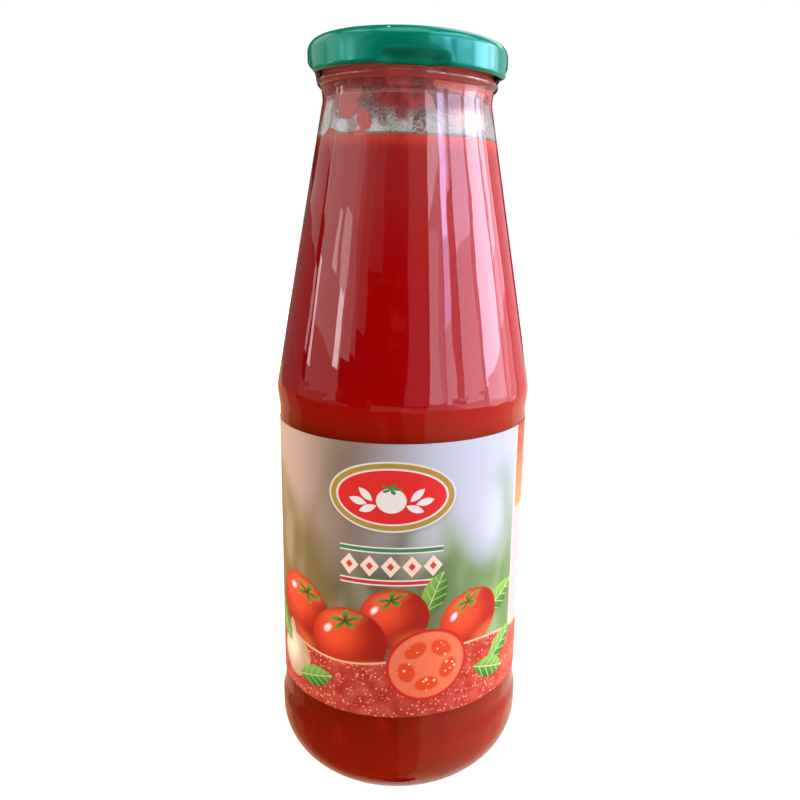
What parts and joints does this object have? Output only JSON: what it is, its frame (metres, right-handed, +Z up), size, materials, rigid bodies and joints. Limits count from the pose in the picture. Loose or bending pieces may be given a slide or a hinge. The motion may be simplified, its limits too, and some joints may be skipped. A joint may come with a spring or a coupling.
{
  "type": "passata bottle",
  "caption": "Tall glass bottle of tomato passata with sloping shoulders, a green twist-off lid and a paper label round its body.",
  "frame": {"origin": "centre of the base ring, on the surface that the bottle stands on", "axes": "+Z up along the bottle's axis; -Y is the front of the label; +X to the right seen from the front"},
  "size_m": [0.078, 0.078, 0.2213],
  "materials": {
    "clear_glass": "clear, glossy",
    "passata": "wet, smooth",
    "label_paper": "coated paper, satin",
    "green_enamel": "glossy enamel on tinplate"
  },
  "bodies": {
    "root": {"glass_bottle": "clear_glass", "passata": "passata", "label": "label_paper", "lid": "green_enamel"}
  },
  "joints": []
}
